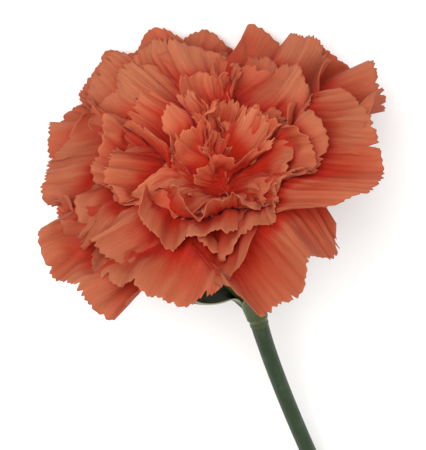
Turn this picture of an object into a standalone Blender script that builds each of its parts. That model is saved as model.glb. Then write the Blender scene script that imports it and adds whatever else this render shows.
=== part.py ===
"""A cut carnation lying on a flat surface, in metres, +Z up.

The head frame has its origin at the neck, where the calyx sits on the stem, and its +Z runs along the
flower's own axis, out of the face. Its +Y side is the side that the flower lies on. Everything above the
neck is modelled there, on surfaces of revolution nested like the layers of a bud, so that no petal
crosses another, and the parent empty "head" lays it down. The world's origin is under the middle of the
whole flower, on the surface.
"""

import math

import bmesh
import bpy
from mathutils import Matrix, Vector

# Lie of the flower
HEAD_TILT = math.radians(18)      # the flower's axis above the horizontal
NECK = Vector((0.001, 0.0170, 0.0155))  # where the calyx meets the stem
PRESS_HEIGHT = 0.006              # petals below this height are pressed by the surface
PRESS_LIMIT = -0.00052            # the height that ever deeper points would approach

# Stem
STEM_RADIUS = 0.0019
STEM_LENGTH = 0.105
STEM_LEAN = math.radians(7)       # how far the stem swings to +X
STEM_SIDES = 12
CUT_ANGLE = math.radians(40)

# Calyx and its bracts, in the head frame
CALYX_HEIGHT = 0.025              # up to the notches between the teeth
TOOTH_HEIGHT = 0.006
TOOTH_COUNT = 5
CALYX_WALL = 0.0006
CALYX_PROFILE = [                 # (height, outer radius)
    (0.0007, 0.0021), (0.003, 0.0021), (0.006, 0.0027), (0.010, 0.0041), (0.014, 0.0058),
    (0.019, 0.0070), (0.025, 0.0077),
]
TOOTH_SPREAD = 0.0010             # how far a tooth's tip leans out
BRACT_WALL = 0.0003
BRACT_GAP = 0.0002
FIT_GAP = 0.0003                  # clearance between pieces that touch

# Petals
WHORLS = 9
PETALS_PER_WHORL = 5
PETAL_WALL = 0.00025
CLAW_BASE_HEIGHT = 0.0135
MOUTH_HEIGHT = 0.028              # where the petals leave the calyx
CLAW_HALF_WIDTH = 0.0018
GUARD_HALF_WIDTH = 0.0190         # half a blade's width in the outermost whorl and in the innermost
INNER_HALF_WIDTH = 0.0058
WIDE_GRID = (12, 6)               # rows along the blade, and columns across it, of the outer whorls' petals
NARROW_GRID = (7, 4)
FIRST_NARROW_WHORL = 4
CLAW_ROWS = 2
SIDE_GAP = 0.0005                 # between neighbours in one whorl
HEAD_RADIUS = 0.039

# Free length past the mouth, and the angle from the axis that the tip reaches, outermost whorl first. The
# petals on the side away from the surface fall open, and those on the side below stand up.
OPEN_LENGTHS = [0.0420, 0.0410, 0.0370, 0.0315, 0.0260, 0.0225, 0.0205, 0.0190, 0.0175]
OPEN_ANGLES = [math.radians(d) for d in (112, 108, 104, 100, 96, 92, 88, 84, 80)]
UPRIGHT_LENGTHS = [0.0480, 0.0480, 0.0470, 0.0450, 0.0430, 0.0400, 0.0370, 0.0335, 0.0300]
UPRIGHT_ANGLES = [math.radians(d) for d in (74, 69, 64, 58, 52, 45, 36, 26, 16)]
OPEN_BEND, UPRIGHT_BEND = 0.022, 0.034    # the length past the mouth that holds the whole bend
WHORL_TURN = math.radians(31)     # each whorl is turned from the one outside it
UNEVEN_TWO = 0.05                 # how far the outline is from round: two-sided and one-sided shares
UNEVEN_ONE = 0.12
UNEVEN_TOWARD = math.radians(100)

PETAL_NAMES = ["guard_petal"] * 2 + ["outer_petal"] * 2 + ["middle_petal"] * 2 + ["inner_petal"] * 3


def clear_scene():
    for obj in list(bpy.data.objects):
        bpy.data.objects.remove(obj, do_unlink=True)


def new_material(name, color, roughness):
    material = bpy.data.materials.new(name)
    material.use_nodes = True
    shader = material.node_tree.nodes["Principled BSDF"]
    shader.inputs["Base Color"].default_value = (*color, 1.0)
    shader.inputs["Roughness"].default_value = roughness
    shader.inputs["Metallic"].default_value = 0.0
    return material


def smoothstep(x):
    x = min(max(x, 0.0), 1.0)
    return x * x * (3.0 - 2.0 * x)


def lerp(a, b, t):
    return a + (b - a) * t


def interpolate(points, x):
    """The value at x of a polyline given as (x, value) points."""
    if x <= points[0][0]:
        return points[0][1]
    for (x0, y0), (x1, y1) in zip(points, points[1:]):
        if x <= x1:
            return lerp(y0, y1, (x - x0) / (x1 - x0))
    return points[-1][1]


def add_object(name, mesh, material, parent):
    obj = bpy.data.objects.new(name, mesh)
    bpy.context.scene.collection.objects.link(obj)
    obj.parent = parent
    mesh.materials.append(material)
    mesh.shade_smooth()
    mesh.set_sharp_from_angle(angle=math.radians(50))
    return obj


def add_sheet(name, rows, thickness, material, parent, closed=False):
    """A thin sheet through rows of points, given its thickness on both sides by a Solidify modifier."""
    bm = bmesh.new()
    verts = [[bm.verts.new(p) for p in row] for row in rows]
    columns = len(rows[0])
    last = columns if closed else columns - 1
    for lower, upper in zip(verts, verts[1:]):
        for i in range(last):
            j = (i + 1) % columns
            bm.faces.new((lower[i], lower[j], upper[j], upper[i]))
    mesh = bpy.data.meshes.new(name)
    bm.to_mesh(mesh)
    bm.free()
    obj = add_object(name, mesh, material, parent)
    solidify = obj.modifiers.new("wall", "SOLIDIFY")
    solidify.thickness = thickness
    solidify.offset = 0.0
    solidify.use_rim = True
    return obj


def polar(radius, angle, height):
    return Vector((radius * math.cos(angle), radius * math.sin(angle), height))


# Head frame

def head_matrix():
    """Stands the head frame's +Z along the flower's axis, which points to +Y and up."""
    tilt = Matrix.Rotation(-(math.pi / 2 - HEAD_TILT), 4, "X")
    return Matrix.Translation(NECK) @ tilt


def press(point):
    """Where the surface presses a point of the head: heights under PRESS_HEIGHT are squeezed, never crossed."""
    world = head_matrix() @ point
    if world.z < PRESS_HEIGHT:
        room = PRESS_HEIGHT - PRESS_LIMIT
        world.z = PRESS_LIMIT + room * math.exp((world.z - PRESS_HEIGHT) / room)
    return head_matrix().inverted() @ world


def sway(point):
    """The head's uneven outline and slow waves. Each slides points one way, so layers never cross."""
    radius = math.hypot(point.x, point.y)
    angle = math.atan2(point.y, point.x)
    out = radius / HEAD_RADIUS
    above = smoothstep((point.z - MOUTH_HEIGHT) / 0.01)
    uneven = UNEVEN_TWO * math.sin(2 * angle) + UNEVEN_ONE * math.cos(angle - UNEVEN_TOWARD)
    radius *= 1.0 + above * (uneven + 0.04 * math.sin(3 * angle + 120 * point.z))
    wave = 0.0013 * out ** 2 * math.sin(7 * angle + 60 * radius)
    return polar(radius, angle, point.z + wave * above)


# Petals

def openness(azimuth):
    """1 on the side away from the surface, 0 on the side below."""
    return 0.5 - 0.5 * math.sin(azimuth)


def free_length(whorl, azimuth):
    return lerp(UPRIGHT_LENGTHS[whorl], OPEN_LENGTHS[whorl], openness(azimuth))


def whorl_profile(whorl, azimuth, arc):
    """(radius, height) of a whorl's surface at arc length past the claw's base: a claw, a bend, a straight."""
    inward = whorl / (WHORLS - 1)
    base_radius = lerp(0.0045, 0.0010, inward)
    mouth_radius = lerp(0.0066, 0.0012, inward)
    claw_length = MOUTH_HEIGHT - CLAW_BASE_HEIGHT
    if arc <= claw_length:
        return lerp(base_radius, mouth_radius, arc / claw_length), CLAW_BASE_HEIGHT + arc
    free = arc - claw_length
    angle = lerp(UPRIGHT_ANGLES[whorl], OPEN_ANGLES[whorl], openness(azimuth))
    bend_length = lerp(UPRIGHT_BEND, OPEN_BEND, openness(azimuth))
    bent = min(free, bend_length)
    turned = angle * bent / bend_length
    radius = mouth_radius + bend_length / angle * (1.0 - math.cos(turned)) + math.sin(angle) * (free - bent)
    height = MOUTH_HEIGHT + bend_length / angle * math.sin(turned) + math.cos(angle) * (free - bent)
    return radius, height


def petal_half_width(whorl, share):
    """Half the petal's width at a share of its free length: a narrow claw that fans out into the blade."""
    blade = lerp(GUARD_HALF_WIDTH, INNER_HALF_WIDTH, (whorl / (WHORLS - 1)) ** 0.8)
    return lerp(CLAW_HALF_WIDTH, blade, smoothstep(share / 0.75))


def petal_rows(whorl, azimuth):
    """The grid of points of one petal's middle surface, from its claw to its margin."""
    claw_length = MOUTH_HEIGHT - CLAW_BASE_HEIGHT
    blade_rows, columns = WIDE_GRID if whorl < FIRST_NARROW_WHORL else NARROW_GRID
    rows = []
    for row in range(CLAW_ROWS + blade_rows + 1):
        up_claw = claw_length * min(row / CLAW_ROWS, 1.0)
        out_blade = max(row - CLAW_ROWS, 0) / blade_rows
        middle_arc = up_claw + out_blade * free_length(whorl, azimuth)
        middle_radius, _ = whorl_profile(whorl, azimuth, middle_arc)
        room = math.pi / PETALS_PER_WHORL - SIDE_GAP / 2 / middle_radius
        half_angle = min(petal_half_width(whorl, out_blade) / middle_radius, room)
        points = []
        for column in range(columns + 1):
            across = 2.0 * column / columns - 1.0
            angle = azimuth + across * half_angle
            reach = free_length(whorl, angle) * (1.0 - 0.10 * across * across)
            radius, height = whorl_profile(whorl, angle, up_claw + out_blade * reach)
            points.append(press(sway(polar(radius, angle, height))))
        rows.append(points)
    return rows


def build_petals(material, head):
    counts = {}
    for whorl in range(WHORLS):
        for place in range(PETALS_PER_WHORL):
            azimuth = whorl * WHORL_TURN + place * 2 * math.pi / PETALS_PER_WHORL
            name = PETAL_NAMES[whorl]
            counts[name] = counts.get(name, 0) + 1
            add_sheet(f"{name}_{counts[name]}", petal_rows(whorl, azimuth), PETAL_WALL, material, head)


# Calyx and bracts

def build_calyx(material, head):
    """A tube that widens from the neck and ends in five teeth."""
    per_tooth = 4
    columns = TOOTH_COUNT * per_tooth
    rows = []
    for height, outer in CALYX_PROFILE:
        radius = outer - CALYX_WALL / 2
        rows.append([polar(radius, 2 * math.pi * i / columns, height) for i in range(columns)])
    mouth = CALYX_PROFILE[-1][1] - CALYX_WALL / 2
    for share in (0.45, 1.0):
        row = []
        for i in range(columns):
            tip = 1.0 - abs((i % per_tooth) / (per_tooth / 2) - 1.0)
            rise = share * (0.08 + 0.92 * tip)
            row.append(polar(mouth + TOOTH_SPREAD * rise ** 2, 2 * math.pi * i / columns,
                             CALYX_HEIGHT + TOOTH_HEIGHT * rise))
        rows.append(row)
    add_sheet("calyx", rows, CALYX_WALL, material, head, closed=True)


def bract_rows(azimuth, layer, start, length, half_angle, spread):
    """A pointed scale on the calyx's base. spread is how far its tip turns out, as a share of a right angle."""
    offset = BRACT_GAP + BRACT_WALL / 2 + layer * (BRACT_WALL + BRACT_GAP)
    rows = []
    row_count, columns = 7, 4
    radius = interpolate(CALYX_PROFILE, start) + offset
    height = start
    step = length / row_count
    for row in range(row_count + 1):
        share = row / row_count
        taper = max(1.0 - share ** 2.2, 0.10)
        rows.append([
            polar(radius, azimuth + half_angle * taper * (2 * i / columns - 1), height)
            for i in range(columns + 1)
        ])
        following = interpolate(CALYX_PROFILE, height + step) + offset
        slope = math.atan2(following - radius, step)
        turned = lerp(slope, spread * math.pi / 2, smoothstep(share * 1.6)) if spread else slope
        radius += math.sin(turned) * step / (1.0 if spread else math.cos(slope))
        height += math.cos(turned) * step if spread else step
    return rows


def build_bracts(material, head):
    """Two crossed pairs of bracts under the calyx. One of the outer pair spreads like a small leaf."""
    down_side, near_side = math.radians(90), math.radians(270)
    left, right = math.radians(186), math.radians(0)
    hugging = {"half_angle": math.radians(52), "spread": 0.0}
    add_sheet("bract_lower", bract_rows(down_side, 1, 0.0010, 0.011, **hugging), BRACT_WALL, material, head)
    add_sheet("bract_upper", bract_rows(near_side, 1, 0.0010, 0.011, **hugging), BRACT_WALL, material, head)
    add_sheet("bract_right", bract_rows(right, 0, 0.0010, 0.011, **hugging), BRACT_WALL, material, head)
    leafy = bract_rows(left, 0, 0.0046, 0.0145, math.radians(46), 0.95)
    add_sheet("bract_left_leaf", leafy, BRACT_WALL, material, head)


# Stem

def stem_path():
    """World points down the stem's centre line: out of the neck along the axis, then easing to the surface."""
    axis = head_matrix().to_3x3() @ Vector((0.0, 0.0, 1.0))
    reach = STEM_LENGTH
    end = Vector((NECK.x + reach * math.sin(STEM_LEAN),
                  NECK.y - reach * math.cos(STEM_LEAN),
                  STEM_RADIUS))
    leave = NECK - axis * reach * 0.30
    arrive = end + Vector((-0.030 * math.sin(STEM_LEAN), 0.030 * math.cos(STEM_LEAN), 0.0012))
    count = 22
    points = []
    for i in range(count + 1):
        t = i / count
        s = 1.0 - t
        points.append(NECK * s ** 3 + leave * 3 * s * s * t + arrive * 3 * s * t * t + end * t ** 3)
    return points


def receptacle_profile():
    """(height, radius) of the stem's top inside the calyx, which the petals stand on."""
    profile = []
    for height, outer in CALYX_PROFILE[:3]:
        profile.append((height + 0.0002, outer - CALYX_WALL - FIT_GAP))
    top = CLAW_BASE_HEIGHT - FIT_GAP
    profile.append((top - 0.0006, interpolate(CALYX_PROFILE, top) - CALYX_WALL - 2 * FIT_GAP))
    profile.append((top, interpolate(CALYX_PROFILE, top) - CALYX_WALL - 4 * FIT_GAP))
    return profile


def ring(bm, centre, side, up, radius):
    points = []
    for i in range(STEM_SIDES):
        angle = 2 * math.pi * i / STEM_SIDES
        points.append(bm.verts.new(centre + (side * math.cos(angle) + up * math.sin(angle)) * radius))
    return points


def build_stem(material):
    """The stem with the receptacle on top, one grown piece, cut off at a slant."""
    bm = bmesh.new()
    rings = []
    frame = head_matrix()
    side = Vector((1.0, 0.0, 0.0))
    axis = frame.to_3x3() @ Vector((0.0, 0.0, 1.0))
    up = side.cross(axis)
    for height, radius in reversed(receptacle_profile()):
        rings.append(ring(bm, frame @ Vector((0.0, 0.0, height)), side, up, radius))
    path = stem_path()
    for i, centre in enumerate(path):
        ahead = path[min(i + 1, len(path) - 1)] - path[max(i - 1, 0)]
        tangent = ahead.normalized()
        across = Vector((1.0, 0.0, 0.0))
        across = (across - tangent * across.dot(tangent)).normalized()
        lift = across.cross(-tangent)
        swell = 0.00020 * math.exp(-i / 1.5)
        rings.append(ring(bm, centre, across, lift, STEM_RADIUS + swell))
    end, tangent = path[-1], (path[-1] - path[-2]).normalized()
    for vert in rings[-1]:
        offset = vert.co - end
        vert.co += tangent * (offset.z * math.tan(CUT_ANGLE) - STEM_RADIUS * math.tan(CUT_ANGLE))
    for first, second in zip(rings, rings[1:]):
        for i in range(STEM_SIDES):
            j = (i + 1) % STEM_SIDES
            bm.faces.new((first[i], first[j], second[j], second[i]))
    bm.faces.new(reversed(rings[0]))
    bm.faces.new(rings[-1])
    bmesh.ops.recalc_face_normals(bm, faces=bm.faces)
    mesh = bpy.data.meshes.new("stem")
    bm.to_mesh(mesh)
    bm.free()
    add_object("stem", mesh, material, None)


def main():
    clear_scene()
    petal = new_material("petal", (0.80, 0.20, 0.10), 0.6)
    calyx = new_material("calyx_green", (0.10, 0.19, 0.07), 0.5)
    stem = new_material("stem_green", (0.07, 0.13, 0.07), 0.5)
    head = bpy.data.objects.new("head", None)
    bpy.context.scene.collection.objects.link(head)
    head.matrix_world = head_matrix()
    build_petals(petal, head)
    build_calyx(calyx, head)
    build_bracts(calyx, head)
    build_stem(stem)


main()
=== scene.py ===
"""A cut carnation lying on a pale surface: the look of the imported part.

Every petal is one thin sheet. It starts on the surface of its whorl, as the CAD solid does, is ruffled,
and is then relaxed together with all the others: edges keep their lengths, inner layers are pushed inside
outer ones, and nothing goes below the surface. The relaxed sheets are resampled finely, with toothed margins.
"""

import math

import bpy
import numpy as np
from mathutils import Matrix, Vector
from mathutils.bvhtree import BVHTree


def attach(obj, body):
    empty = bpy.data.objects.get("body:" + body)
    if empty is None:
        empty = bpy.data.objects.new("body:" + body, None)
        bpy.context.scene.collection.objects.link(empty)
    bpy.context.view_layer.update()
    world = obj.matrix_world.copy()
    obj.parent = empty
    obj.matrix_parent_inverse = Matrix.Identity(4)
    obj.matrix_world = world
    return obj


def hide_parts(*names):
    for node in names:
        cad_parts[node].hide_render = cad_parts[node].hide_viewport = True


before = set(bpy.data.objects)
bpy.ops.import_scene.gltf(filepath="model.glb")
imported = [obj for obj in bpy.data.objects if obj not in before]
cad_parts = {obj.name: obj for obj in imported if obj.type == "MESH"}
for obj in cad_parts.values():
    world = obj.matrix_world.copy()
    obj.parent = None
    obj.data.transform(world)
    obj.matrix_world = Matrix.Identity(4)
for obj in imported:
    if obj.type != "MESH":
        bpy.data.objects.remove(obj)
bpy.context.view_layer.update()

# ---------------------------------------------------------------- sizes in metres, as the CAD has them

HEAD_TILT = math.radians(18)
NECK = Vector((0.001, 0.0170, 0.0155))
PRESS_HEIGHT = 0.006
PRESS_LIMIT = -0.00052
FLOOR_GAP = 0.0002

WHORLS = 9
PETALS_PER_WHORL = 5
WHORL_TURN = math.radians(31)
CLAW_BASE_HEIGHT = 0.0135
MOUTH_HEIGHT = 0.028
CLAW_BASE_RADII = (0.0045, 0.0010)              # of the claws' lower ends, in the first whorl and in the last
MOUTH_RADII = (0.0066, 0.0012)                  # of the claws at the calyx's mouth
CLAW_HALF_WIDTH = 0.0018
GUARD_HALF_WIDTH, INNER_HALF_WIDTH = 0.0190, 0.0058       # of a blade, in the first whorl and in the last
HEAD_RADIUS = 0.039
OPEN_LENGTHS = [0.0420, 0.0410, 0.0370, 0.0315, 0.0260, 0.0225, 0.0205, 0.0190, 0.0175]
OPEN_ANGLES = np.radians([112, 108, 104, 100, 96, 92, 88, 84, 80])
UPRIGHT_LENGTHS = [0.0480, 0.0480, 0.0470, 0.0450, 0.0430, 0.0400, 0.0370, 0.0335, 0.0300]
UPRIGHT_ANGLES = np.radians([74, 69, 64, 58, 52, 45, 36, 26, 16])
OPEN_BEND, UPRIGHT_BEND = 0.022, 0.034
UNEVEN_TWO = 0.05               # how far the head is from round, twice, once and three times a turn
UNEVEN_ONE = 0.12
UNEVEN_THREE = 0.04
RIPPLE_HEIGHT = 0.0013
UNEVEN_TOWARD = math.radians(100)
PETAL_NAMES = ["guard"] * 2 + ["outer"] * 2 + ["middle"] * 2 + ["inner"] * 3

# ---------------------------------------------------------------- the looks' own sizes

SEED = 7
CLAW_ROWS, BLADE_ROWS, COLUMNS = 3, 24, 22      # the relaxed grid of one petal
SHEET_THICKNESS = 0.00015
CONTACT_GAP = 0.0005
RIDGE_HEIGHT = 0.0004
# how far the rays reach that measure occlusion for the painted shade
SHADE_RAY_REACH = 0.012
OUTLINE = [(0, 1.05), (20, 1.01), (40, 0.94), (60, 0.93), (80, 0.98), (100, 1.03), (120, 1.07),
           (140, 1.00), (160, 0.95), (180, 0.98), (200, 1.09), (220, 1.12), (240, 1.13), (260, 1.12),
           (280, 1.05), (300, 0.96), (320, 1.09), (340, 1.14), (360, 1.05)]    # (azimuth, reach)
OUTER_SHORTENING = 0.12         # of the outer petals' length, on the side away from the surface
GUARD_TURNS = {1: 1, 2: 4, 4: -2, 6: 11, 7: 3}      # petal: degrees from even spacing
SMOOTH = {"wave_height": 0.0008, "small_height": 0.0004, "cup": 0.0, "twist": 0.0, "fold_height": 0.0,
          "curl": 0.0006}
# petals with a pose of their own, by number, azimuths and tilts in degrees
POSED = {
    0: {"azimuth": 16, "length": 1.00},
    3: {"azimuth": 208, "length": 0.96},
    5: {"azimuth": 45, "length": 0.98},
    8: {"azimuth": 244, "length": 0.93, "half_width": 0.0190},
    9: {"azimuth": 336},
    36: {"azimuth": 268, "tilt": 30, "length": 1.15, "half_width": 0.0085, "pale": 0.5, **SMOOTH},
    # petal 40's extra paleness is painted light, as if it were brightly lit
    40: {"azimuth": 216, "tilt": 40, "length": 1.35, "half_width": 0.0100, "pale": 1.3, **SMOOTH},
    44: {"azimuth": 150},
}
BLUSHED = {34: (0.15, 0.08), 38: (-0.20, 0.08), 39: (0.30, 0.08)}   # petal: (place across, width) of a streak
RELAX_STEPS = 170
PAIR_STEPS = 10                 # steps between searches for touching points
PAIR_REACH = 0.007              # how far apart two points may be when they are first paired
LAYER_STEP = 0.18               # from one petal to the next in its whorl, where whorls are 1 apart
LAYER_REACH = 4.1               # how many layers apart two petals may be and still be paired
MOMENTUM = 0.6                  # share of a point's last move that it keeps
GOAL_PULL = 0.04                # share of the way to its goal that a point moves in one step
LONGEST_PUSH = 0.0012
FINE_ROWS = 46
FINE_COLUMNS = [160, 120, 110]  # for whorls 1 to 3, 4 to 6 and 7 to 9
TOOTH_WIDTH = 0.0015
PLEAT_HEIGHT = 0.00013

head_to_world = Matrix.Translation(NECK) @ Matrix.Rotation(-(math.pi / 2 - HEAD_TILT), 4, "X")
HEAD_AXES = np.array(head_to_world.to_3x3())
HEAD_PLACE = np.array(NECK)


def lerp(a, b, t):
    return a + (b - a) * t


def smoothstep(x):
    x = np.clip(x, 0.0, 1.0)
    return x * x * (3.0 - 2.0 * x)


def blade_half_width(inward):
    return lerp(GUARD_HALF_WIDTH, INNER_HALF_WIDTH, inward ** 0.8)


def unit(vectors):
    return vectors / np.maximum(np.linalg.norm(vectors, axis=-1, keepdims=True), 1e-12)


# ---------------------------------------------------------------- whorl surfaces, in the head frame

def openness(azimuth):
    """1 on the side away from the surface, 0 on the side below."""
    return 0.5 - 0.5 * np.sin(azimuth)


def free_length(whorl, azimuth):
    return lerp(UPRIGHT_LENGTHS[whorl], OPEN_LENGTHS[whorl], openness(azimuth))


def outline_reach(azimuth):
    """How much farther than its whorl a petal reaches, round the head."""
    angles, reaches = zip(*OUTLINE)
    return np.interp(np.degrees(azimuth) % 360, angles, reaches)


def whorl_surface(whorl, azimuth, claw_share, free, tilt):
    """Points of a whorl's surface: a claw inside the calyx, a bend and a straight. tilt turns it out."""
    inward = whorl / (WHORLS - 1)
    base_radius = lerp(*CLAW_BASE_RADII, inward)
    mouth_radius = lerp(*MOUTH_RADII, inward)
    angle = lerp(UPRIGHT_ANGLES[whorl], OPEN_ANGLES[whorl], openness(azimuth)) + tilt
    bend = lerp(UPRIGHT_BEND, OPEN_BEND, openness(azimuth))
    bent = np.minimum(free, bend)
    turned = angle * bent / bend
    radius = lerp(base_radius, mouth_radius, claw_share)
    radius = radius + bend / angle * (1.0 - np.cos(turned)) + np.sin(angle) * (free - bent)
    height = lerp(CLAW_BASE_HEIGHT, MOUTH_HEIGHT, claw_share)
    height = height + bend / angle * np.sin(turned) + np.cos(angle) * (free - bent)
    out = radius / HEAD_RADIUS
    above = smoothstep((height - MOUTH_HEIGHT) / 0.01)
    uneven = UNEVEN_TWO * np.sin(2 * azimuth) + UNEVEN_ONE * np.cos(azimuth - UNEVEN_TOWARD)
    uneven = uneven + UNEVEN_THREE * np.sin(3 * azimuth + 120 * height)
    radius = radius * (1.0 + above * uneven)
    height = height + above * RIPPLE_HEIGHT * out ** 2 * np.sin(7 * azimuth + 60 * radius)
    return np.stack([radius * np.cos(azimuth), radius * np.sin(azimuth), height], axis=-1)


def to_world(points):
    """Head-frame points in the world, with what would go into the surface pressed flat on it."""
    world = points @ HEAD_AXES.T + HEAD_PLACE
    room = PRESS_HEIGHT - PRESS_LIMIT
    low = np.minimum(world[..., 2], PRESS_HEIGHT)
    world[..., 2] = np.where(world[..., 2] < PRESS_HEIGHT,
                             PRESS_LIMIT + room * np.exp((low - PRESS_HEIGHT) / room), world[..., 2])
    return world


def grid_normals(grid):
    """Unit normals on the side that faces the flower's middle, for grids (..., rows, columns, 3)."""
    along = np.gradient(grid, axis=-3)
    across = np.gradient(grid, axis=-2)
    return unit(np.cross(along, across))


# ---------------------------------------------------------------- petals before relaxing

class Petal:
    """One petal's place in the head and the way it ruffles."""

    def __init__(self, number):
        rng = self.rng = np.random.default_rng([SEED, number])
        self.whorl, self.place = divmod(number, PETALS_PER_WHORL)
        self.inward = self.whorl / (WHORLS - 1)
        self.layer = self.whorl + LAYER_STEP * self.place
        loose = 1.0 if self.whorl > 1 else 0.3
        self.azimuth = self.whorl * WHORL_TURN + self.place * math.tau / PETALS_PER_WHORL
        self.azimuth += loose * math.radians(rng.uniform(-12, 12))
        self.azimuth += math.radians(GUARD_TURNS.get(number, 0))
        self.tilt = loose * math.radians(rng.uniform(-10, 10) * lerp(0.9, 1.5, self.inward))
        self.half_width = blade_half_width(self.inward) * rng.uniform(0.85, 1.15)
        self.overlap = math.radians(lerp(50, 38, self.inward)) * rng.uniform(0.9, 1.1)
        self.length = rng.uniform(1.0 - 0.18 * loose, 1.06)
        self.waves = rng.uniform(lerp(1.6, 0.9, self.inward), lerp(2.9, 1.7, self.inward))
        self.wave_phase = rng.uniform(0, math.tau)
        self.wave_drift = rng.uniform(-1.4, 1.4)
        self.wave_height = lerp(0.0036, 0.0027, self.inward) * rng.uniform(0.7, 1.35)
        self.small_waves = rng.uniform(3.5, 6.5) * lerp(1.0, 0.7, self.inward)
        self.small_phase = rng.uniform(0, math.tau)
        self.small_height = lerp(0.0012, 0.0016, self.inward) * rng.uniform(0.6, 1.4)
        self.cup = rng.uniform(-0.5, 1.0) * lerp(0.0035, 0.0050, self.inward)
        self.twist = rng.uniform(-1.0, 1.0) * 0.0045
        self.side_fold = rng.choice((-1.0, 1.0)) * rng.uniform(0.2, 1.0)
        self.fold_height = rng.uniform(-0.3, 1.0) * 0.0050
        self.curl = rng.uniform(-1.0, 0.7) * 0.0040
        self.skew = rng.uniform(-0.16, 0.16)
        # paleness: a random tone per petal, plus a share growing inward that is painted light on the
        # better-lit middle
        self.pale = 0.2 * self.inward + rng.choice((0.05, 0.25, 0.70))
        if PETAL_NAMES[self.whorl] == "outer":
            self.length *= 1.0 - OUTER_SHORTENING * openness(self.azimuth)
        self.blush = BLUSHED.get(number)
        for key, value in POSED.get(number, {}).items():
            setattr(self, key, math.radians(value) if key in ("azimuth", "tilt") else value)

    def flat(self):
        """The smooth sheet on its whorl's surface, and the shares along and across it."""
        rows = np.arange(CLAW_ROWS + BLADE_ROWS + 1)
        claw_share = np.minimum(rows / CLAW_ROWS, 1.0)[:, None]
        share = (np.maximum(rows - CLAW_ROWS, 0) / BLADE_ROWS)[:, None]
        across = np.linspace(-1.0, 1.0, COLUMNS + 1)[None, :]
        half_width = lerp(CLAW_HALF_WIDTH, self.half_width, smoothstep(share / 0.75))
        length = free_length(self.whorl, self.azimuth) * self.length
        spine = np.full_like(share, self.azimuth)
        middle = whorl_surface(self.whorl, spine, claw_share, share * length, self.tilt)
        radius = np.hypot(middle[..., 0], middle[..., 1])
        room = lerp(math.radians(33), self.overlap, smoothstep(share / 0.25))
        half_angle = np.minimum(half_width / radius, room)
        azimuth = self.azimuth + (across + self.skew * share ** 2) * half_angle
        rounding = 1.0 - 0.16 * np.abs(across) ** 2.4
        reach = free_length(self.whorl, azimuth) * self.length * rounding * outline_reach(azimuth)
        points = whorl_surface(self.whorl, azimuth, claw_share + 0 * across, share * reach, self.tilt)
        return points, share + 0 * across, across + 0 * share

    def ruffled(self):
        """The sheet with its folds, which deepen toward the margin."""
        points, share, across = self.flat()
        normals = grid_normals(points)
        turn = math.pi * self.waves * across * (1.0 + 0.12 * np.sin(2.3 * across + self.small_phase))
        turn = turn + self.wave_phase + self.wave_drift * share
        folds = self.wave_height * share ** 1.15 * (np.sin(turn) + 0.18 * np.sin(2 * turn + self.small_phase))
        small = self.small_height * share ** 3 * np.sin(
            math.pi * self.small_waves * across + self.small_phase + 2.0 * share)
        keel = lerp(2.0, 1.3, self.inward)
        cup = self.cup * share * np.abs(across) ** keel + self.twist * share ** 1.5 * across
        side = self.fold_height * share * smoothstep((across * self.side_fold - 0.1) / 0.7)
        curl = self.curl * smoothstep((share - 0.6) / 0.4)
        return points + normals * (folds + small + cup + side + curl)[..., None]


# ---------------------------------------------------------------- relaxing

def edge_rests(grids, steps):
    """Lengths between each point and the one that is (rows, columns) away, for the given steps."""
    rests = []
    for down, right in steps:
        first, second = paired(grids, down, right)
        rests.append(np.linalg.norm(second - first, axis=-1))
    return rests


def paired(grids, down, right):
    """Every point that has another one (down, right) away, and that other one."""
    rows, columns = grids.shape[1], grids.shape[2]
    if right >= 0:
        return grids[:, :rows - down, :columns - right], grids[:, down:, right:]
    return grids[:, :rows - down, -right:], grids[:, down:, :columns + right]


EDGE_STEPS = [(1, 0), (0, 1), (1, 1), (1, -1), (2, 0), (0, 2)]
EDGE_STIFFNESS = [0.15, 0.15, 0.07, 0.07, 0.05, 0.05]


def touching(grids, layers, reach):
    """Pairs (pushed point, sheet point, side) of neighbouring sheets, by index into the flattened grids."""
    count, rows, columns, _ = grids.shape
    per_petal = rows * columns
    first = (CLAW_ROWS + 1) * columns
    flat = grids.reshape(count, per_petal, 3)[:, first:]
    low, high = flat.min(1) - reach, flat.max(1) + reach
    squares = (flat ** 2).sum(-1)
    pushed, sheet, sides = [], [], []
    for a in range(count):
        for b in range(count):
            gap = layers[b] - layers[a]
            if gap <= 0 or gap > LAYER_REACH or (low[a] > high[b]).any() or (low[b] > high[a]).any():
                continue
            apart = squares[a][:, None] + squares[b][None, :] - 2.0 * flat[a] @ flat[b].T
            for axis, (mine, other, side) in enumerate(((a, b, -1.0), (b, a, 1.0))):
                nearest = apart.argmin(1 - axis)
                distance = apart.min(1 - axis)
                chosen = np.nonzero(distance < reach ** 2)[0]
                pushed.append(mine * per_petal + first + chosen)
                sheet.append(other * per_petal + first + nearest[chosen])
                sides.append(np.full(len(chosen), side))
    return np.concatenate(pushed), np.concatenate(sheet), np.concatenate(sides)


def spread(count, index, values):
    """The sum of the vectors given to each of count points."""
    return np.stack([np.bincount(index, values[:, k], count) for k in range(3)], axis=-1)


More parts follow.
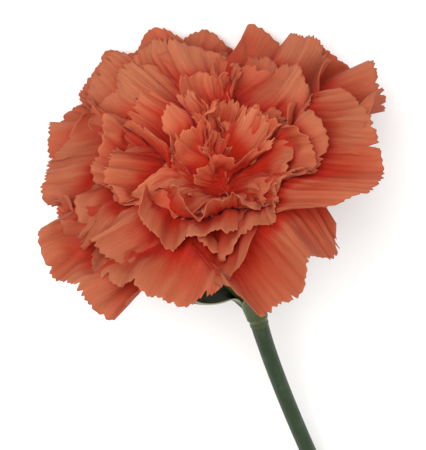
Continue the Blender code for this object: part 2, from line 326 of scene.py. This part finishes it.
def relax(start, goal, layers):
    """Moves all sheets toward their ruffled goal, holding edge lengths, layer order and the surface."""
    grids = start.copy()
    before = grids.copy()
    rests = edge_rests(goal, EDGE_STEPS)
    total = grids.shape[0] * grids.shape[1] * grids.shape[2]
    spacing = np.linalg.norm(goal[:, :, 1:] - goal[:, :, :-1], axis=-1).mean(axis=(1, 2))
    side_room = np.repeat(np.clip(spacing * 1.1, 0.0008, 0.0022), grids.shape[1] * grids.shape[2])
    for step in range(RELAX_STEPS):
        if step % PAIR_STEPS == 0:
            pushed, sheet, sides = touching(grids, layers, PAIR_REACH)
        ramp = smoothstep((step + 1) / (0.5 * RELAX_STEPS))
        moving = (grids - before) * MOMENTUM
        before = grids.copy()
        grids = grids + moving
        change = np.zeros_like(grids)
        for (down, right), rest, stiffness in zip(EDGE_STEPS, rests, EDGE_STIFFNESS):
            first, second = paired(grids, down, right)
            between = second - first
            length = np.linalg.norm(between, axis=-1)
            pull = (stiffness * (1.0 - rest / np.maximum(length, 1e-9)))[..., None] * between
            one, two = paired(change, down, right)
            one += pull
            two -= pull
        target = start + (goal - start) * ramp
        grids = grids + change + GOAL_PULL * (target - grids)
        normals = grid_normals(grids).reshape(total, 3)
        flat = grids.reshape(total, 3)
        apart = flat[pushed] - flat[sheet]
        normal = normals[sheet]
        depth = (apart * normal).sum(1)
        sideways = np.linalg.norm(apart - depth[:, None] * normal, axis=1)
        need = CONTACT_GAP - sides * depth
        active = (need > 0) & (sideways < side_room[sheet])
        shift = (sides * np.minimum(need, LONGEST_PUSH) * 0.5 * active)[:, None] * normal
        hits = np.bincount(pushed, active, total) + np.bincount(sheet, active, total)
        moved = (spread(total, pushed, shift) - spread(total, sheet, shift)) / np.maximum(hits, 1.0)[:, None]
        grids = (flat + moved * 1.4).reshape(grids.shape)
        grids[..., 2] = np.maximum(grids[..., 2], FLOOR_GAP)
        grids[:, :CLAW_ROWS + 1] = start[:, :CLAW_ROWS + 1]
    return grids


def occlusion_for_shade(grids):
    """How far neighbouring petals close in over the inner face of each sheet, from 0 to 1: occlusion, which
    the petal colour turns into painted shade.
    """
    count, rows, columns, _ = grids.shape
    faces = grid_faces(rows, columns)
    faces = np.concatenate([faces + petal * rows * columns for petal in range(count)])
    tree = BVHTree.FromPolygons(grids.reshape(-1, 3).tolist(), faces.tolist())
    blades = grids[:, CLAW_ROWS + 1:]
    normals, along = grid_normals(blades), unit(np.gradient(blades, axis=1))
    side = np.cross(normals, along)
    found = np.zeros(blades.shape[:3])
    for lean, turns in ((0, 1), (30, 3), (60, 6)):
        for turn in np.linspace(0, math.tau, turns, endpoint=False):
            sideways = along * math.cos(turn) + side * math.sin(turn)
            direction = normals * math.cos(math.radians(lean)) + sideways * math.sin(math.radians(lean))
            start = blades + normals * 0.0005
            for index in np.ndindex(found.shape):
                reached = tree.ray_cast(start[index].tolist(), direction[index].tolist(), SHADE_RAY_REACH)[3]
                if reached is not None:
                    found[index] += 1.0 - 0.7 * reached / SHADE_RAY_REACH
    for _ in range(3):
        padded = np.pad(found, ((0, 0), (1, 1), (1, 1)), mode="edge")
        found = (padded[:, :-2, 1:-1] + padded[:, 2:, 1:-1] + padded[:, 1:-1, :-2] + padded[:, 1:-1, 2:]
                 + 2 * found) / 6
    return np.concatenate([np.ones((count, CLAW_ROWS + 1, columns)), found / 10.0], axis=1)


# ---------------------------------------------------------------- fine petals

def spline_weights(t):
    """Weights of the four neighbours in a uniform cubic B-spline."""
    return ((1 - t) ** 3 / 6, (3 * t ** 3 - 6 * t ** 2 + 4) / 6,
            (-3 * t ** 3 + 3 * t ** 2 + 3 * t + 1) / 6, t ** 3 / 6)


def padded_grid(grid):
    grid = np.concatenate([2 * grid[:1] - grid[1:2], grid, 2 * grid[-1:] - grid[-2:-1]], axis=0)
    return np.concatenate([2 * grid[:, :1] - grid[:, 1:2], grid, 2 * grid[:, -1:] - grid[:, -2:-1]], axis=1)


def sample(grid, row, column):
    """The smooth surface through a grid, at fractional rows and columns."""
    padded = padded_grid(grid)
    row = np.clip(row, 0.0, grid.shape[0] - 1 - 1e-6)
    column = np.clip(column, 0.0, grid.shape[1] - 1 - 1e-6)
    row_floor, column_floor = np.floor(row).astype(int), np.floor(column).astype(int)
    row_weights = spline_weights(row - row_floor)
    column_weights = spline_weights(column - column_floor)
    points = np.zeros(row.shape + (3,))
    for i in range(4):
        for j in range(4):
            weight = row_weights[i] * column_weights[j]
            points += weight[..., None] * padded[row_floor + i, column_floor + j]
    return points


def margin(across, width, fringe, rng):
    """How far the toothed margin stays behind the full sheet, in metres, at shares across it."""
    count = max(int(width / TOOTH_WIDTH), 6)
    edges = np.linspace(-1.0, 1.0, count + 1)
    edges[1:-1] += rng.uniform(-0.33, 0.33, count - 1) * 2.0 / count
    depths = rng.uniform(0.0003, 0.0011, count + 1) * fringe
    deep = rng.random(count + 1) < 0.16
    depths[deep] *= rng.uniform(1.8, 3.0, deep.sum())
    lean = rng.uniform(0.3, 0.7, count)
    tips = edges[:-1] + lean * (edges[1:] - edges[:-1])
    places = np.concatenate([edges, tips])
    values = np.concatenate([depths, rng.uniform(0.0, 0.0002, count)])
    order = np.argsort(places)
    teeth = np.interp(across, places[order], values[order])
    for _ in range(rng.integers(1, 4) if fringe > 1.4 else 0):
        place, half = rng.uniform(-0.8, 0.8), rng.uniform(0.05, 0.09)
        teeth = teeth + rng.uniform(0.0015, 0.0045) * np.exp(-((across - place) / half) ** 2)
    lobes = 0.0009 * (1 + np.sin(math.pi * rng.uniform(1.5, 3.0) * across + rng.uniform(0, math.tau)))
    return teeth + lobes


def fine_sheet(petal, grid, occluded):
    """The relaxed petal resampled finely, with its teeth. Returns its points and their attributes."""
    rng = petal.rng
    columns = FINE_COLUMNS[petal.whorl // 3]
    width = np.linalg.norm(grid[-4, 1:] - grid[-4, :-1], axis=-1).sum()
    middle = grid[CLAW_ROWS:, COLUMNS // 2]
    length = np.linalg.norm(middle[1:] - middle[:-1], axis=-1).sum()
    across = np.linspace(-1.0, 1.0, columns + 1)
    end = 1.0 - margin(across, width, lerp(1.0, 1.8, petal.inward), rng) / length
    blade = np.linspace(0.0, 1.0, FINE_ROWS + 1)[1:] ** 0.9
    share = np.concatenate([np.linspace(-1.0, 0.0, 4)[:, None] + 0 * across, blade[:, None] * end])
    row = np.where(share < 0, (share + 1) * CLAW_ROWS, CLAW_ROWS + share * BLADE_ROWS)
    column = np.broadcast_to((across + 1) / 2 * COLUMNS, row.shape)
    points = sample(grid, row, column)
    # occlusion at each point, which the petal colour turns into painted shade
    occlusion_shade = sample(np.repeat(occluded[..., None], 3, axis=-1), row, column)[..., 0]
    normals = grid_normals(points)
    pleats = np.zeros_like(share)
    for _ in range(3):
        count, phase, drift = rng.uniform(6, 19), rng.uniform(0, math.tau), rng.uniform(-2, 2)
        pleats = pleats + np.sin(math.pi * count * across + phase + drift * share)
    height = PLEAT_HEIGHT * smoothstep(share / 0.4) * lerp(1.0, 0.6, petal.inward)
    padded = np.pad(points, ((6, 6), (6, 6), (0, 0)), mode="edge")
    smoothed = sum(padded[6 + i:6 + i + points.shape[0], 6 + j:6 + j + points.shape[1]]
                   for i in (-6, -3, 0, 3, 6) for j in (-6, -3, 0, 3, 6)) / 25
    ridge = ((points - smoothed) * normals).sum(-1) / RIDGE_HEIGHT
    ridge[:, :7] = ridge[:, 7:8]
    ridge[:, -7:] = ridge[:, -8:-7]
    points = points + normals * (height * pleats)[..., None]
    points[..., 2] = np.maximum(points[..., 2], FLOOR_GAP * 0.6)
    # ridge drives the painted highlight on ridges and the painted shade in hollows
    attributes = {"share": np.clip(share, 0, 1), "across": np.broadcast_to(across, share.shape),
                  "ridge": np.clip(ridge + 0.12 * pleats, -1, 1), "tone": rng.random(), "pale": petal.pale,
                  "inward": petal.inward, "occlusion_shade": np.clip(occlusion_shade, 0, 1)}
    blush = 0.0 * share
    if petal.blush:
        place, width = petal.blush
        blush = np.exp(-((across - place) / width) ** 2)
        blush = blush * smoothstep((share - 0.3) / 0.2) * smoothstep((1.0 - share) / 0.2)
    attributes["blush"] = blush
    return points, attributes


# ---------------------------------------------------------------- meshes

def grid_faces(rows, columns, closed=False):
    """Quads between the points of a grid. closed joins its last column to its first."""
    index = np.arange(rows * columns).reshape(rows, columns)
    following = np.roll(index, -1, axis=1) if closed else index[:, 1:]
    current = index if closed else index[:, :-1]
    return np.stack([current[:-1], following[:-1], following[1:], current[1:]], axis=-1).reshape(-1, 4)


def grid_object(name, points, faces, material, attributes):
    """A smooth mesh through a grid of points, with a value at each point for every attribute."""
    mesh = bpy.data.meshes.new(name)
    mesh.from_pydata(points.reshape(-1, 3).tolist(), [], faces)
    for key, values in attributes.items():
        layer = mesh.attributes.new(key, "FLOAT", "POINT")
        layer.data.foreach_set("value", np.broadcast_to(values, points.shape[:2]).astype(np.float32).ravel())
    mesh.shade_smooth()
    mesh.materials.append(material)
    thing = bpy.data.objects.new(name, mesh)
    bpy.context.scene.collection.objects.link(thing)
    return thing


def sheet_object(name, points, material, thickness, attributes, closed=False):
    """A sheet on a grid of points, given its thickness by a Solidify modifier. closed joins its two sides."""
    faces = grid_faces(*points.shape[:2], closed).tolist()
    thing = grid_object(name, points, faces, material, attributes)
    wall = thing.modifiers.new("wall", "SOLIDIFY")
    wall.thickness = thickness
    wall.offset = 0.0
    return thing


def stand_for(thing, node):
    """The piece rides the one body and takes the place of its CAD node."""
    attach(thing, "root")
    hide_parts(node)


# ---------------------------------------------------------------- materials

class Nodes:
    """A short way to write a material's nodes."""

    def __init__(self, name):
        self.material = bpy.data.materials.new(name)
        self.material.use_nodes = True
        self.tree = self.material.node_tree
        self.shader = self.tree.nodes["Principled BSDF"]
        self.output = self.tree.nodes["Material Output"]

    def add(self, kind, links=None, **settings):
        node = self.tree.nodes.new(kind)
        for key, value in settings.items():
            setattr(node, key, value)
        for key, value in (links or {}).items():
            self.put(node.inputs[key], value)
        return node

    def put(self, socket, value):
        if isinstance(value, bpy.types.NodeSocket):
            self.tree.links.new(value, socket)
        elif isinstance(value, tuple) and len(value) == 3 and socket.type == "RGBA":
            socket.default_value = (*value, 1.0)
        else:
            socket.default_value = value

    def attribute(self, name):
        return self.add("ShaderNodeAttribute", attribute_name=name).outputs["Fac"]

    def math(self, operation, a, b=0.0, clamp=False):
        node = self.add("ShaderNodeMath", {0: a, 1: b}, operation=operation)
        node.use_clamp = clamp
        return node.outputs[0]

    def ramp(self, value, low, high, smooth=True):
        node = self.add("ShaderNodeMapRange", {"Value": value, "From Min": low, "From Max": high})
        node.interpolation_type = "SMOOTHSTEP" if smooth else "LINEAR"
        return node.outputs[0]

    def vector(self, x, y, z):
        return self.add("ShaderNodeCombineXYZ", {0: x, 1: y, 2: z}).outputs[0]

    def noise(self, where, scale, detail=2.0, roughness=0.5):
        node = self.add("ShaderNodeTexNoise",
                        {"Vector": where, "Scale": scale, "Detail": detail, "Roughness": roughness})
        return node.outputs["Fac"]

    def mix(self, share, a, b, blend="MIX"):
        node = self.add("ShaderNodeMix", data_type="RGBA", blend_type=blend)
        for socket, value in zip([node.inputs[0], node.inputs[6], node.inputs[7]], [share, a, b]):
            self.put(socket, value)
        return node.outputs[2]

    def place(self):
        return self.add("ShaderNodeTexCoord").outputs["Object"]

    def bump(self, height, distance, strength=1.0, normal=None):
        links = {"Height": height, "Distance": distance, "Strength": strength}
        if normal is not None:
            links["Normal"] = normal
        return self.add("ShaderNodeBump", links).outputs[0]

    def finish(self, **sockets):
        for key, value in sockets.items():
            self.put(self.shader.inputs[key.replace("_", " ")], value)
        return self.material


CORAL, LIGHT_CORAL = (0.550, 0.054, 0.013), (0.620, 0.155, 0.058)
# the ridge coral is a painted highlight on the sheets' ridges and pleat crests
STREAK_CORAL, RIDGE_HIGHLIGHT_CORAL = (0.640, 0.205, 0.100), (0.670, 0.240, 0.118)
WARM_CORAL, PALE_CORAL = (0.560, 0.050, 0.015), (0.740, 0.300, 0.155)
# the hollow red is painted shade in the sheets' hollows
HOLLOW_SHADE_RED, VEIN_RED = (0.540, 0.030, 0.008), (0.540, 0.036, 0.009)
# painted shade: deep reds toward the petals' bases and where neighbouring petals close in
BASE_SHADE_RED, OCCLUSION_SHADE_RED = (0.640, 0.018, 0.006), (0.600, 0.020, 0.006)
# the margin peach is partly the petals' own paler edge, partly painted highlight on the thin tips
MARGIN_PEACH_AND_HIGHLIGHT = (0.700, 0.290, 0.145)
CRIMSON = (0.42, 0.008, 0.034)
# painted light: outer petals are darkened and inner ones lightened, as if the middle were better lit
GUARD_PAINTED_SHADE, INNER_PAINTED_LIGHT = (0.80, 0.75, 0.74), (1.12, 1.14, 1.08)
GUARD_THROUGH, INNER_THROUGH = (0.700, 0.160, 0.060), (0.980, 0.105, 0.016)    # light passing through


def petal_material():
    """Coral tissue: fanned veins, painted highlight on ridges, a pale margin that is partly painted
    highlight, painted red shade at the base, in hollows and where petals close in, inner petals painted
    lighter, light passing through.
    """
    n = Nodes("coral_petal")
    share, across, tone = n.attribute("share"), n.attribute("across"), n.attribute("tone")
    blush, ridge, pale = n.attribute("blush"), n.attribute("ridge"), n.attribute("pale")
    inward, occlusion_shade = n.attribute("inward"), n.attribute("occlusion_shade")
    place = n.place()
    wander = n.math("MULTIPLY", n.math("SUBTRACT", n.noise(place, 110.0, 3.0), 0.5), 0.16)
    fan = n.math("ADD", across, n.math("MULTIPLY", wander, share))
    seed = n.math("MULTIPLY", tone, 37.0)
    broad_place = n.vector(n.math("MULTIPLY", fan, 8.0), n.math("MULTIPLY", share, 1.6), seed)
    broad = n.noise(broad_place, 1.0, 3.0, 0.6)
    fine_place = n.vector(n.math("MULTIPLY", fan, 52.0), n.math("MULTIPLY", share, 2.2), seed)
    fine = n.noise(fine_place, 1.0, 3.0, 0.65)
    vein = n.ramp(n.math("ABSOLUTE", n.math("SUBTRACT", fine, 0.5)), 0.0, 0.09)
    patch = n.noise(place, 45.0, 3.0, 0.6)

    blade = n.mix(n.ramp(patch, 0.38, 0.66), CORAL, LIGHT_CORAL)
    blade = n.mix(n.math("MULTIPLY", tone, 0.50), blade, WARM_CORAL)
    blade = n.mix(n.math("MULTIPLY", n.ramp(broad, 0.42, 0.68), 0.42), blade, STREAK_CORAL)
    # painted highlight: paler colour on ridges and pleat crests
    blade = n.mix(n.math("MULTIPLY", n.ramp(ridge, 0.05, 0.9), 0.60), blade, RIDGE_HIGHLIGHT_CORAL)
    # painted shade: deep red in the hollows between ridges
    hollow_shade = n.ramp(n.math("MULTIPLY", ridge, -1.0), 0.05, 0.9)
    blade = n.mix(n.math("MULTIPLY", hollow_shade, 0.75), blade, HOLLOW_SHADE_RED)
    # paleness: a random tone per petal, partly painted light on the inner petals and petal 40
    blade = n.mix(n.math("MULTIPLY", pale, 0.75, clamp=True), blade, PALE_CORAL)
    veined = n.mix(n.math("MULTIPLY", n.math("SUBTRACT", 1.0, vein), 0.62), blade, VEIN_RED)
    # painted shade: deep red toward each petal's base, deep inside the head, reaching farther out on inner
    # petals
    base_shade_end = n.math("ADD", 0.38, n.math("MULTIPLY", inward, 0.24))
    depth = n.mix(n.ramp(share, 0.06, base_shade_end), BASE_SHADE_RED, veined)
    # painted shade: deep red where neighbouring petals close in over the sheet
    depth = n.mix(n.math("MULTIPLY", n.ramp(occlusion_shade, 0.10, 0.55), 0.92), depth, OCCLUSION_SHADE_RED)
    # a paler margin: partly the petal's own edge colour, partly painted highlight on the thin tips
    edge_place = n.math("ADD", share, n.math("MULTIPLY", n.math("SUBTRACT", broad, 0.5), 0.16))
    margin_pale_and_highlight = n.mix(n.math("MULTIPLY", n.ramp(edge_place, 0.70, 1.0), 0.62), depth, MARGIN_PEACH_AND_HIGHLIGHT)
    # painted light: outer petals darker, inner petals lighter
    painted_light_factor = n.mix(inward, GUARD_PAINTED_SHADE, INNER_PAINTED_LIGHT)
    colour = n.mix(blush, n.mix(1.0, margin_pale_and_highlight, painted_light_factor, "MULTIPLY"), CRIMSON)

    relief = n.bump(fine, 0.00030, 0.85)
    relief = n.bump(n.noise(place, 900.0, 2.0), 0.00003, 0.6, relief)
    roughness = n.ramp(patch, 0.2, 0.9, smooth=False)
    roughness = n.math("ADD", n.math("MULTIPLY", roughness, 0.14), 0.52)
    n.finish(Base_Color=colour, Roughness=roughness, Specular_IOR_Level=0.22, Normal=relief,
             Sheen_Weight=0.05, Sheen_Roughness=0.45)
    through = n.mix(inward, GUARD_THROUGH, INNER_THROUGH)
    glow = n.add("ShaderNodeBsdfTranslucent", {"Color": n.mix(0.75, colour, through), "Normal": relief})
    both = n.add("ShaderNodeMixShader", {0: 0.45, 1: n.shader.outputs[0], 2: glow.outputs[0]})
    n.tree.links.new(both.outputs[0], n.output.inputs["Surface"])
    return n.material


def green_material(name, base, light, edge, bloom):
    """Waxy green tissue: lengthwise veins, a pale thin edge and a faint grey bloom."""
    n = Nodes(name)
    share, across, rim = n.attribute("share"), n.attribute("across"), n.attribute("rim")
    place = n.place()
    lines = n.noise(n.vector(n.math("MULTIPLY", across, 16.0), n.math("MULTIPLY", share, 2.0), 3.0), 1.0, 2.0)
    patch = n.noise(place, 220.0, 3.0, 0.6)
    colour = n.mix(n.ramp(lines, 0.35, 0.65), base, light)
    colour = n.mix(n.math("MULTIPLY", n.ramp(patch, 0.45, 0.75), bloom), colour, (0.24, 0.32, 0.25))
    colour = n.mix(rim, colour, edge)
    relief = n.bump(lines, 0.00012, 0.7)
    relief = n.bump(n.noise(place, 1400.0, 2.0), 0.00002, 0.5, relief)
    roughness = n.math("ADD", n.math("MULTIPLY", patch, 0.22), 0.34)
    return n.finish(Base_Color=colour, Roughness=roughness, Specular_IOR_Level=0.28, Normal=relief,
                    Subsurface_Weight=0.08, Subsurface_Scale=0.0008)


def floor_material():
    """A matt, nearly white surface with faint mottling."""
    n = Nodes("pale_floor")
    speck = n.noise(n.place(), 35.0, 3.0)
    colour = n.mix(speck, (0.90, 0.90, 0.895), (0.93, 0.93, 0.925))
    return n.finish(Base_Color=colour, Roughness=0.8)


# ---------------------------------------------------------------- petals

petal_tissue = petal_material()


def build_petals():
    petals = [Petal(number) for number in range(WHORLS * PETALS_PER_WHORL)]
    start = to_world(np.stack([petal.flat()[0] for petal in petals]))
    goal = to_world(np.stack([petal.ruffled() for petal in petals]))
    grids = relax(start, goal, [petal.layer for petal in petals])
    counts = {}
    for petal, grid, occluded in zip(petals, grids, occlusion_for_shade(grids)):
        name = PETAL_NAMES[petal.whorl]
        counts[name] = counts.get(name, 0) + 1
        points, attributes = fine_sheet(petal, grid, occluded)
        look_name = f"{name}_petal_look_{counts[name]}"
        look = sheet_object(look_name, points, petal_tissue, SHEET_THICKNESS, attributes)
        stand_for(look, f"{name}_petal_{counts[name]}")


build_petals()


# ---------------------------------------------------------------- calyx, bracts and stem, in the head frame

CALYX_PROFILE = [(0.0007, 0.0021), (0.003, 0.0021), (0.006, 0.0027), (0.010, 0.0041), (0.014, 0.0058),
                 (0.019, 0.0070), (0.025, 0.0077)]     # (height, outer radius)
CALYX_WALL = 0.0006
TOOTH_HEIGHT, TOOTH_COUNT, TOOTH_SPREAD = 0.006, 5, 0.0010
BRACT_WALL, BRACT_GAP = 0.0003, 0.0002
STEM_RADIUS, STEM_LENGTH = 0.0019, 0.105
STEM_LEAN = math.radians(7)
CUT_ANGLE = math.radians(40)
# rings that sink the cut face in, each (share of the stem's radius, depth)
CUT_RINGS = [(0.93, 0.00002), (0.90, 0.00010), (0.6, 0.00014), (0.3, 0.00022), (0.02, 0.00026)]
CALYX_RIBS, RIB_HEIGHT = 15, 0.00005
CALYX_FOOT, COLLAR_HEIGHT = -0.0005, 0.0002     # where the tube starts, and how far its foot stands out


def calyx_radius(height):
    """The calyx's outer radius: a smooth curve close to its profile."""
    heights, radii = zip(*CALYX_PROFILE)
    nearby = np.linspace(-0.0016, 0.0016, 9)
    return np.mean([np.interp(height + step, heights, radii) for step in nearby], axis=0)


def polar(radius, azimuth, height):
    return np.stack(np.broadcast_arrays(radius * np.cos(azimuth), radius * np.sin(azimuth), height), axis=-1)


def build_calyx(material):
    turns = 120
    azimuth = np.linspace(0, math.tau, turns, endpoint=False)[None, :]
    low, high = CALYX_FOOT, CALYX_PROFILE[-1][0]
    height = np.linspace(low, high, 46)[:, None]
    ribs = RIB_HEIGHT * np.cos(CALYX_RIBS * azimuth) * smoothstep((height - 0.006) / 0.006)
    collar = COLLAR_HEIGHT * np.exp(-((height - low) / 0.0012) ** 2)
    tube = polar(calyx_radius(height) - CALYX_WALL / 2 + ribs + collar, azimuth, height)
    tip = 1.0 - np.abs((azimuth * TOOTH_COUNT / math.tau * 2) % 2 - 1.0)
    rise = np.linspace(0, 1, 15)[1:, None] * (0.05 + 0.95 * tip ** 0.85)
    mouth = calyx_radius(high) - CALYX_WALL / 2
    tooth_radius = mouth + TOOTH_SPREAD * rise ** 2 + RIB_HEIGHT * np.cos(CALYX_RIBS * azimuth)
    teeth = polar(tooth_radius, azimuth, high + TOOTH_HEIGHT * rise)
    points = np.concatenate([tube, teeth])
    share = np.linspace(0, 1, len(points))[:, None]
    rim = np.zeros(points.shape[:2])
    rim[-3:] = np.array([0.3, 0.7, 1.0])[:, None]
    attributes = {"share": share, "across": np.cos(azimuth) * 2.5, "rim": rim}
    look = sheet_object("calyx_look", points @ HEAD_AXES.T + HEAD_PLACE, material, CALYX_WALL * 0.8,
                        closed=True, attributes=attributes)
    stand_for(look, "calyx")


def build_bract(name, azimuth, layer, start, length, half_angle, spread, material):
    """A scale on the calyx's base. spread is how far its tip turns out, as a share of a right angle."""
    rows, columns = 30, 17
    across = np.linspace(-1, 1, columns)
    offset = BRACT_GAP + BRACT_WALL / 2 + layer * (BRACT_WALL + BRACT_GAP)
    step = length / rows
    height, radius = start, float(calyx_radius(start)) + offset * 0.2
    points = []
    for row in range(rows + 1):
        share = row / rows
        taper = max(1.0 - share ** 2.6, 0.0) ** 0.75 + 0.03
        lifted = offset * (0.2 + 0.8 * float(smoothstep((row + 1) / rows * 6)))
        slope = math.atan2(float(calyx_radius(height + step)) + lifted - radius, step)
        turned = lerp(slope, spread * math.pi / 2, float(smoothstep(share * 1.6))) if spread else slope
        keel = 0.0003 * (1 - across ** 2) * share - (0.0012 * across ** 2 * share if spread else 0.0)
        out = math.cos(turned)
        points.append(polar(radius + keel * out, azimuth + half_angle * taper * across,
                            height - keel * math.sin(turned)))
        radius += math.sin(turned) * step
        height += math.cos(turned) * step
    points = np.array(points)
    share = np.linspace(0, 1, rows + 1)[:, None]
    rim = smoothstep((np.abs(across)[None, :] - 0.72) / 0.25) * np.ones_like(share)
    attributes = {"share": share, "across": across[None, :], "rim": rim}
    look = sheet_object(f"{name}_look", points @ HEAD_AXES.T + HEAD_PLACE, material, BRACT_WALL, attributes)
    stand_for(look, name)


def stem_path(count):
    """World points down the stem's centre line: out of the neck along the axis, easing to the surface."""
    axis = head_to_world.to_3x3() @ Vector((0.0, 0.0, 1.0))
    swing = Vector((math.sin(STEM_LEAN), -math.cos(STEM_LEAN), 0.0))
    end = Vector((NECK.x, NECK.y, STEM_RADIUS)) + swing * STEM_LENGTH
    leave = NECK - axis * STEM_LENGTH * 0.30
    arrive = end - swing * 0.030 + Vector((0.0, 0.0, 0.0012))
    t = np.linspace(0, 1, count)[:, None]
    s = 1 - t
    return (np.array(NECK) * s ** 3 + np.array(leave) * 3 * s * s * t
            + np.array(arrive) * 3 * s * t * t + np.array(end) * t ** 3)


def build_stem(material):
    """The stem: faintly ridged, thicker at the neck, cut at a slant with a slightly sunken face."""
    turns = 48
    angle = np.linspace(0, math.tau, turns, endpoint=False)[None, :]
    path = stem_path(150)
    tangent = unit(np.gradient(path, axis=0))
    across = unit(np.array([[1.0, 0, 0]]) - tangent * tangent[:, :1])
    lift = np.cross(across, -tangent)
    share = np.linspace(0, 1, len(path))[:, None]
    distance = share * STEM_LENGTH
    radius = STEM_RADIUS + 0.0002 * np.exp(-distance / 0.006)
    radius = radius * (1 + 0.012 * np.cos(6 * angle + 2 * share) + 0.012 * np.sin(9 * share + angle))
    points = (path[:, None] + radius[..., None] * (
        across[:, None] * np.cos(angle)[..., None] + lift[:, None] * np.sin(angle)[..., None]))
    slant = math.tan(CUT_ANGLE)
    near_end = smoothstep((share - 0.9) / 0.1)
    slide = near_end * ((points[..., 2] - path[-1, 2]) * slant - STEM_RADIUS * slant)
    points += tangent[-1] * slide[..., None]
    centre = points[-1].mean(0)
    caps = [centre + (points[-1] - centre) * size - tangent[-1] * depth for size, depth in CUT_RINGS]
    top = path[0] + (points[0] - path[0]) * 0.02
    points = np.concatenate([top[None], points, np.array(caps)])
    count = len(points)
    faces = grid_faces(count, turns, closed=True).tolist()
    faces += [list(range(turns)), list(range(count * turns - 1, (count - 1) * turns - 1, -1))]
    rim = np.zeros((count, turns))
    rim[-len(caps):] = 1.0
    along = np.linspace(0, 1, count)[:, None]
    attributes = {"share": along * 8, "across": np.cos(angle) * 2.0, "rim": rim}
    look = grid_object("stem_look", points, faces, material, attributes)
    stand_for(look, "stem")


def build_green_parts():
    calyx_green = green_material(
        "calyx_green", base=(0.038, 0.056, 0.012), light=(0.058, 0.078, 0.019),
        edge=(0.16, 0.18, 0.08), bloom=0.04)
    bract_green = green_material(
        "bract_green", base=(0.012, 0.028, 0.010), light=(0.020, 0.042, 0.015),
        edge=(0.36, 0.38, 0.25), bloom=0.10)
    stem_green = green_material(
        "stem_green", base=(0.016, 0.032, 0.012), light=(0.026, 0.046, 0.018),
        edge=(0.38, 0.42, 0.20), bloom=0.10)
    build_calyx(calyx_green)
    hugging = {"start": 0.0010, "length": 0.011, "half_angle": math.radians(52), "spread": 0.0}
    spreading = {"start": 0.0046, "length": 0.0145, "half_angle": math.radians(46), "spread": 0.95}
    build_bract("bract_lower", math.radians(90), 1, material=bract_green, **hugging)
    build_bract("bract_upper", math.radians(270), 1, material=calyx_green, **hugging)
    build_bract("bract_right", math.radians(0), 0, material=calyx_green, **hugging)
    build_bract("bract_left_leaf", math.radians(186), 0, material=bract_green, **spreading)
    build_stem(stem_green)


build_green_parts()


# ---------------------------------------------------------------- stage, light and camera

LIGHTS_AIM = Vector((0, 0.045, 0.02))
FLOOR_HALF_SIDE = 1.5


def add_area(name, place, size, power, colour):
    """A round soft light that points at the head."""
    light = bpy.data.lights.new(name, "AREA")
    light.shape = "DISK"
    light.size = size
    light.energy = power
    light.color = colour
    thing = bpy.data.objects.new(name, light)
    bpy.context.scene.collection.objects.link(thing)
    thing.location = place
    thing.rotation_euler = (LIGHTS_AIM - Vector(place)).to_track_quat("-Z", "Y").to_euler()


def build_stage():
    mesh = bpy.data.meshes.new("floor")
    half = FLOOR_HALF_SIDE
    corners = [(-half, -half, 0), (half, -half, 0), (half, half, 0), (-half, half, 0)]
    mesh.from_pydata(corners, [], [(0, 1, 2, 3)])
    mesh.materials.append(floor_material())
    floor = bpy.data.objects.new("floor", mesh)
    bpy.context.scene.collection.objects.link(floor)
    world = bpy.data.worlds.new("soft_room")
    world.use_nodes = True
    world.node_tree.nodes["Background"].inputs["Color"].default_value = (1.0, 0.995, 0.985, 1.0)
    world.node_tree.nodes["Background"].inputs["Strength"].default_value = 0.70
    bpy.context.scene.world = world
    add_area("key", (-0.20, 0.38, 0.80), 0.80, 7.0, (1.0, 0.98, 0.95))
    add_area("fill", (0.40, -0.15, 0.75), 0.80, 2.0, (0.97, 0.98, 1.0))


VIEW_FROM_AXIS = math.radians(60)
VIEW_ROLL = math.radians(16)
VIEW_DISTANCE = 0.50
HEAD_MIDDLE = 0.045               # from the neck, along the head's axis
AIM_BELOW_MIDDLE = 0.0140
VIEW_HEIGHT = 0.1008              # what the tall side of the picture takes in, at the flower's middle


def build_camera():
    """Looks down at the head, 60 degrees off its axis, with the frame turned so that the axis leans left."""
    axis = head_to_world.to_3x3() @ Vector((0, 0, 1))
    rise = math.pi - VIEW_FROM_AXIS - HEAD_TILT
    back = Vector((0.0, -math.cos(rise), math.sin(rise)))
    upright = (axis - back * axis.dot(back)).normalized()
    beside = upright.cross(back)
    up = upright * math.cos(VIEW_ROLL) + beside * math.sin(VIEW_ROLL)
    middle = NECK + axis * HEAD_MIDDLE
    camera = bpy.data.objects.new("camera", bpy.data.cameras.new("camera"))
    bpy.context.scene.collection.objects.link(camera)
    camera.location = middle + back * VIEW_DISTANCE
    target = middle - up * AIM_BELOW_MIDDLE
    forward = (target - camera.location).normalized()
    side = forward.cross(up).normalized()
    above = side.cross(forward)
    turn = Matrix((side, above, -forward)).transposed().to_4x4()
    camera.matrix_world = Matrix.Translation(camera.location) @ turn
    camera.data.sensor_width = 36.0
    camera.data.lens = 36.0 * VIEW_DISTANCE / VIEW_HEIGHT
    camera.data.clip_start, camera.data.clip_end = 0.01, 10.0
    bpy.context.scene.camera = camera


build_stage()
build_camera()
bpy.context.scene.view_settings.view_transform = "Standard"
